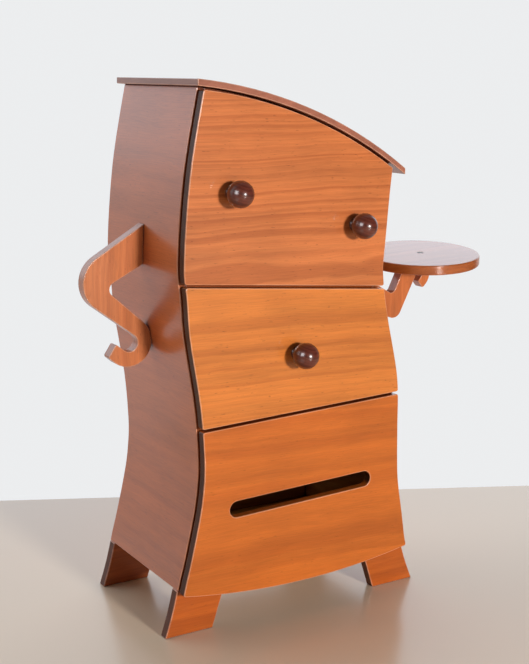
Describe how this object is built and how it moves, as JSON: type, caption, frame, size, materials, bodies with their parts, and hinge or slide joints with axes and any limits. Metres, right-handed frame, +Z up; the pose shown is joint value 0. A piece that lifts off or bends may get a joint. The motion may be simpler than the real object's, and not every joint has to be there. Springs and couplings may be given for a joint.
{
  "type": "money box",
  "caption": "Waiter-shaped wooden chest of drawers used as a money box, with a mouth slot, knobs for eyes and nose, bent arms and a round tray.",
  "frame": {"origin": "on the floor, at the centre of the bounding box's footprint", "axes": "+Z up, +X to the right as seen from the front, +Y from the drawer fronts to the back"},
  "size_m": [0.4404, 0.187, 0.496],
  "materials": {
    "varnished_pine": "semi-gloss clear varnish over orange-brown softwood",
    "bare_wood": "bare, sanded",
    "dark_knob": "dark stain under gloss varnish",
    "screw_steel": "plated"
  },
  "bodies": {
    "carcass": {"back_panel": "varnished_pine", "bottom_drawer_stop": "bare_wood", "bottom_left_guide": "bare_wood", "bottom_right_guide": "bare_wood", "floor_panel": "bare_wood", "front_frame": "varnished_pine", "left_arm": "varnished_pine", "left_arm_lower_dowel": "bare_wood", "left_arm_upper_dowel": "bare_wood", "left_side_panel": "varnished_pine", "lower_shelf": "bare_wood", "middle_drawer_stop": "bare_wood", "middle_left_guide": "bare_wood", "middle_right_guide": "bare_wood", "right_arm": "varnished_pine", "right_arm_lower_dowel": "bare_wood", "right_arm_upper_dowel": "bare_wood", "right_side_panel": "varnished_pine", "roof_board": "varnished_pine", "serving_tray": "varnished_pine", "top_drawer_stop": "bare_wood", "top_left_guide": "bare_wood", "top_right_guide": "bare_wood", "tray_screw": "screw_steel", "upper_shelf": "bare_wood"},
    "top_drawer": {"top_drawer_back": "bare_wood", "top_drawer_base": "bare_wood", "top_drawer_front": "varnished_pine", "top_drawer_left_side": "bare_wood", "top_drawer_right_side": "bare_wood", "left_eye_knob": "dark_knob", "left_eye_screw": "screw_steel", "right_eye_knob": "dark_knob", "right_eye_screw": "screw_steel"},
    "middle_drawer": {"middle_drawer_back": "bare_wood", "middle_drawer_base": "bare_wood", "middle_drawer_front": "varnished_pine", "middle_drawer_left_side": "bare_wood", "middle_drawer_right_side": "bare_wood", "nose_knob": "dark_knob", "nose_screw": "screw_steel"},
    "bottom_drawer": {"bottom_drawer_back": "bare_wood", "bottom_drawer_base": "bare_wood", "bottom_drawer_front": "varnished_pine", "bottom_drawer_left_side": "bare_wood", "bottom_drawer_right_side": "bare_wood"}
  },
  "joints": [
    {"name": "top_drawer_slide", "type": "slide", "parent": "carcass", "child": "top_drawer", "axis": [0, -1, 0], "range_m": [0, 0.1]},
    {"name": "middle_drawer_slide", "type": "slide", "parent": "carcass", "child": "middle_drawer", "axis": [0, -1, 0], "range_m": [0, 0.1]},
    {"name": "bottom_drawer_slide", "type": "slide", "parent": "carcass", "child": "bottom_drawer", "axis": [0, -1, 0], "range_m": [0, 0.1]}
  ]
}
